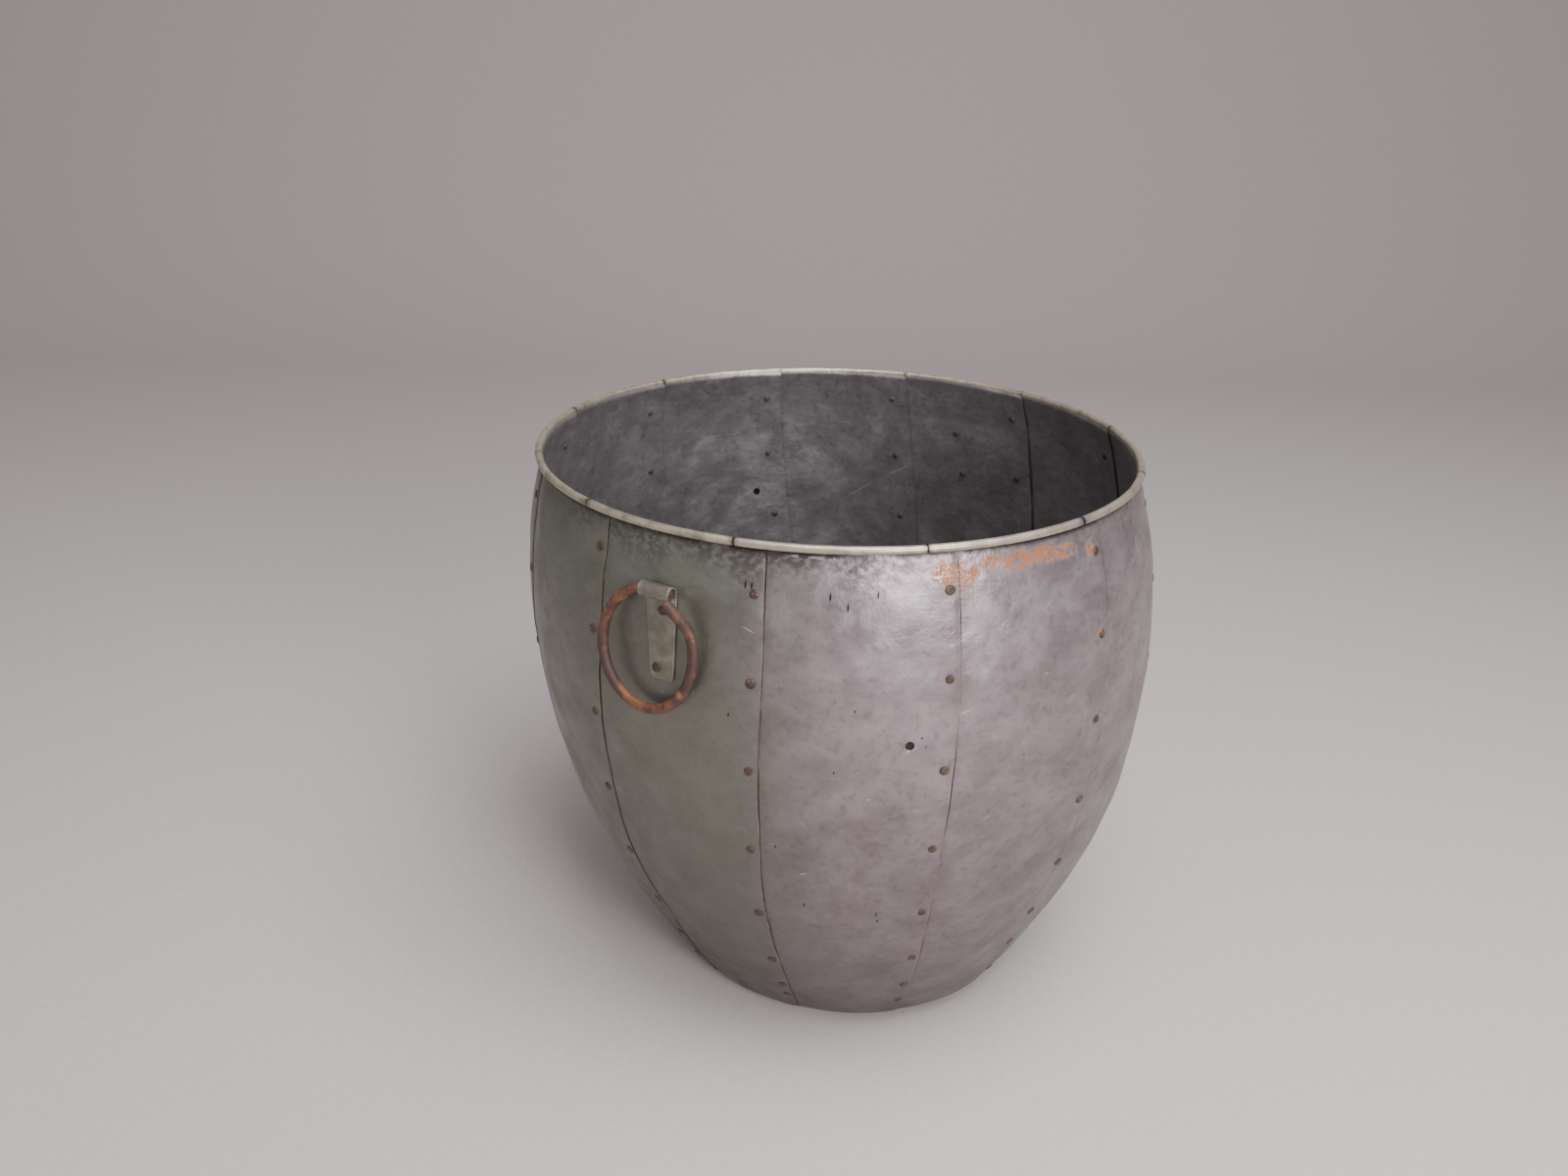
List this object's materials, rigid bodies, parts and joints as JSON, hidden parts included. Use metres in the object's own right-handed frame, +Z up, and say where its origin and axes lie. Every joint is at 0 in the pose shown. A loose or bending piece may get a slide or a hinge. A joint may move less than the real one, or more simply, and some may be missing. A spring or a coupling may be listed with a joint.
{
  "type": "florist bucket",
  "caption": "Large round-bellied florist bucket of riveted sheet-steel gores with a wired rolled rim, a dished base and two swinging ring handles in rolled hangers.",
  "frame": {"origin": "centre of the flat underside of the base, on the surface that the bucket stands on", "axes": "+X towards the right-hand ring handle, the two ring handles lie on the X sides, +Z up through the open mouth"},
  "size_m": [0.6606, 0.6366, 0.5731],
  "materials": {
    "galvanised_sheet": "weathered galvanised sheet steel, dull and stained",
    "base_sheet": "weathered galvanised sheet steel, scuffed",
    "rim_wire": "plain iron wire",
    "rivet_iron": "rusted iron rivets",
    "hanger_strap": "weathered galvanised strap",
    "ring_rod": "rusted iron rod"
  },
  "bodies": {
    "vessel": {"gore_01": "galvanised_sheet", "gore_02": "galvanised_sheet", "gore_03": "galvanised_sheet", "gore_04": "galvanised_sheet", "gore_05": "galvanised_sheet", "gore_06": "galvanised_sheet", "gore_07": "galvanised_sheet", "gore_08": "galvanised_sheet", "gore_09": "galvanised_sheet", "gore_10": "galvanised_sheet", "gore_11": "galvanised_sheet", "gore_12": "galvanised_sheet", "rim_wire": "rim_wire", "base_pan": "base_sheet", "neck_rivet_01": "rivet_iron", "neck_rivet_02": "rivet_iron", "neck_rivet_03": "rivet_iron", "neck_rivet_04": "rivet_iron", "neck_rivet_05": "rivet_iron", "neck_rivet_06": "rivet_iron", "neck_rivet_07": "rivet_iron", "neck_rivet_08": "rivet_iron", "neck_rivet_09": "rivet_iron", "neck_rivet_10": "rivet_iron", "neck_rivet_11": "rivet_iron", "neck_rivet_12": "rivet_iron", "belly_rivet_01": "rivet_iron", "belly_rivet_02": "rivet_iron", "belly_rivet_03": "rivet_iron", "belly_rivet_04": "rivet_iron", "belly_rivet_05": "rivet_iron", "belly_rivet_06": "rivet_iron", "belly_rivet_07": "rivet_iron", "belly_rivet_08": "rivet_iron", "belly_rivet_09": "rivet_iron", "belly_rivet_10": "rivet_iron", "belly_rivet_11": "rivet_iron", "belly_rivet_12": "rivet_iron", "pan_rivet_01": "rivet_iron", "pan_rivet_02": "rivet_iron", "pan_rivet_03": "rivet_iron", "pan_rivet_04": "rivet_iron", "pan_rivet_05": "rivet_iron", "pan_rivet_06": "rivet_iron", "pan_rivet_07": "rivet_iron", "pan_rivet_08": "rivet_iron", "pan_rivet_09": "rivet_iron", "pan_rivet_10": "rivet_iron", "pan_rivet_11": "rivet_iron", "pan_rivet_12": "rivet_iron", "hanger_left": "hanger_strap", "hanger_right": "hanger_strap", "hanger_rivet_left_1": "rivet_iron", "hanger_rivet_left_2": "rivet_iron", "hanger_rivet_right_1": "rivet_iron", "hanger_rivet_right_2": "rivet_iron"},
    "ring_right": {"ring_handle_right": "ring_rod"},
    "ring_left": {"ring_handle_left": "ring_rod"}
  },
  "joints": [
    {"name": "ring_right_swing", "type": "hinge", "parent": "vessel", "child": "ring_right", "pos_m": [0.30173, 0.02252, 0.52], "axis": [0, -1, 0], "range_deg": [0, 135]},
    {"name": "ring_left_swing", "type": "hinge", "parent": "vessel", "child": "ring_left", "pos_m": [-0.32545, 0.02252, 0.52], "axis": [0, 1, 0], "range_deg": [0, 135]}
  ]
}
